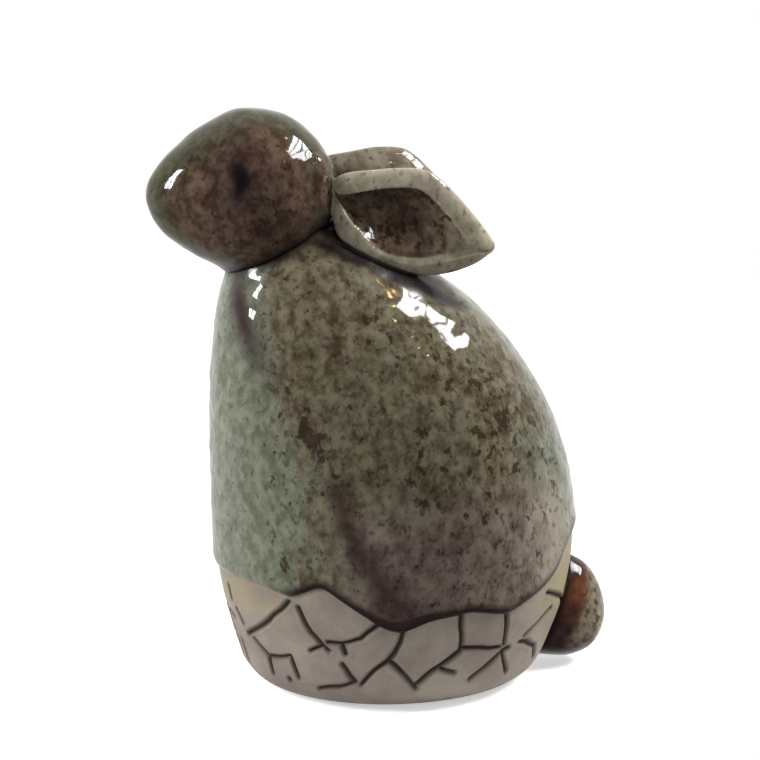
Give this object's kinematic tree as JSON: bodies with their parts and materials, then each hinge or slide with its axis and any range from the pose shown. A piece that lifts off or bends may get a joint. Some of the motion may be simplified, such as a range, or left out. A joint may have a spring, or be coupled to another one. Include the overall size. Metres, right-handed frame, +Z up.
{
  "type": "ceramic rabbit figurine",
  "caption": "Sitting rabbit ornament of hollow glazed ceramic with laid-back scooped ears, a stub tail and a bare carved foot band; stands on its flat foot.",
  "frame": {"origin": "middle of the flat foot, on the ground", "axes": "+Z up, -X the way the rabbit faces, -Y its left flank"},
  "size_m": [0.0929, 0.0624, 0.1165],
  "materials": {
    "bare_clay": "matt, unglazed",
    "torso_glaze": "glossy, mottled",
    "head_glaze": "glossy, mottled",
    "ear_glaze": "glossy, mottled",
    "tail_glaze": "glossy, mottled",
    "slip": "glossy"
  },
  "bodies": {
    "root": {"torso_shell": "bare_clay", "torso_glaze": "torso_glaze", "pour_hole_plug": "bare_clay", "plug_slip": "slip", "head_shell": "head_glaze", "neck_slip": "slip", "left_ear": "ear_glaze", "right_ear": "ear_glaze", "left_ear_slip": "slip", "right_ear_slip": "slip", "tail": "tail_glaze", "tail_slip": "slip"}
  },
  "joints": []
}
